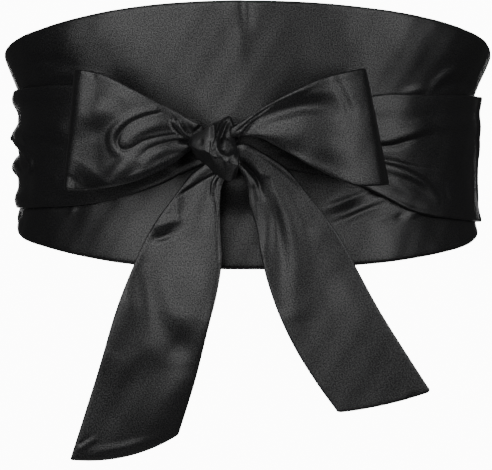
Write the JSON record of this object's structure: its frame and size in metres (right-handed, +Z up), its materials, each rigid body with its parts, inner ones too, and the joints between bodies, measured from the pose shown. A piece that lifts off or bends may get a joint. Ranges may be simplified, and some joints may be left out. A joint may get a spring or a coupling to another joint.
{
  "type": "satin waist sash tied in a bow",
  "caption": "Black satin waist sash as it is worn: a shaped front panel whose long ties wrap the back, cross over the panel and end in a soft bow with two hanging tails.",
  "frame": {"origin": "middle of the waist that the sash goes round, at half the height of its front panel", "axes": "+X to the right as the front is seen, +Y towards the back, +Z up"},
  "size_m": [0.2891, 0.2458, 0.2533],
  "materials": {
    "satin": "black polyester satin with a soft sheen"
  },
  "bodies": {
    "root": {"front_panel": "satin", "left_tie": "satin", "right_tie": "satin", "knot": "satin", "left_loop": "satin", "right_loop": "satin", "left_tail": "satin", "right_tail": "satin"}
  },
  "joints": []
}
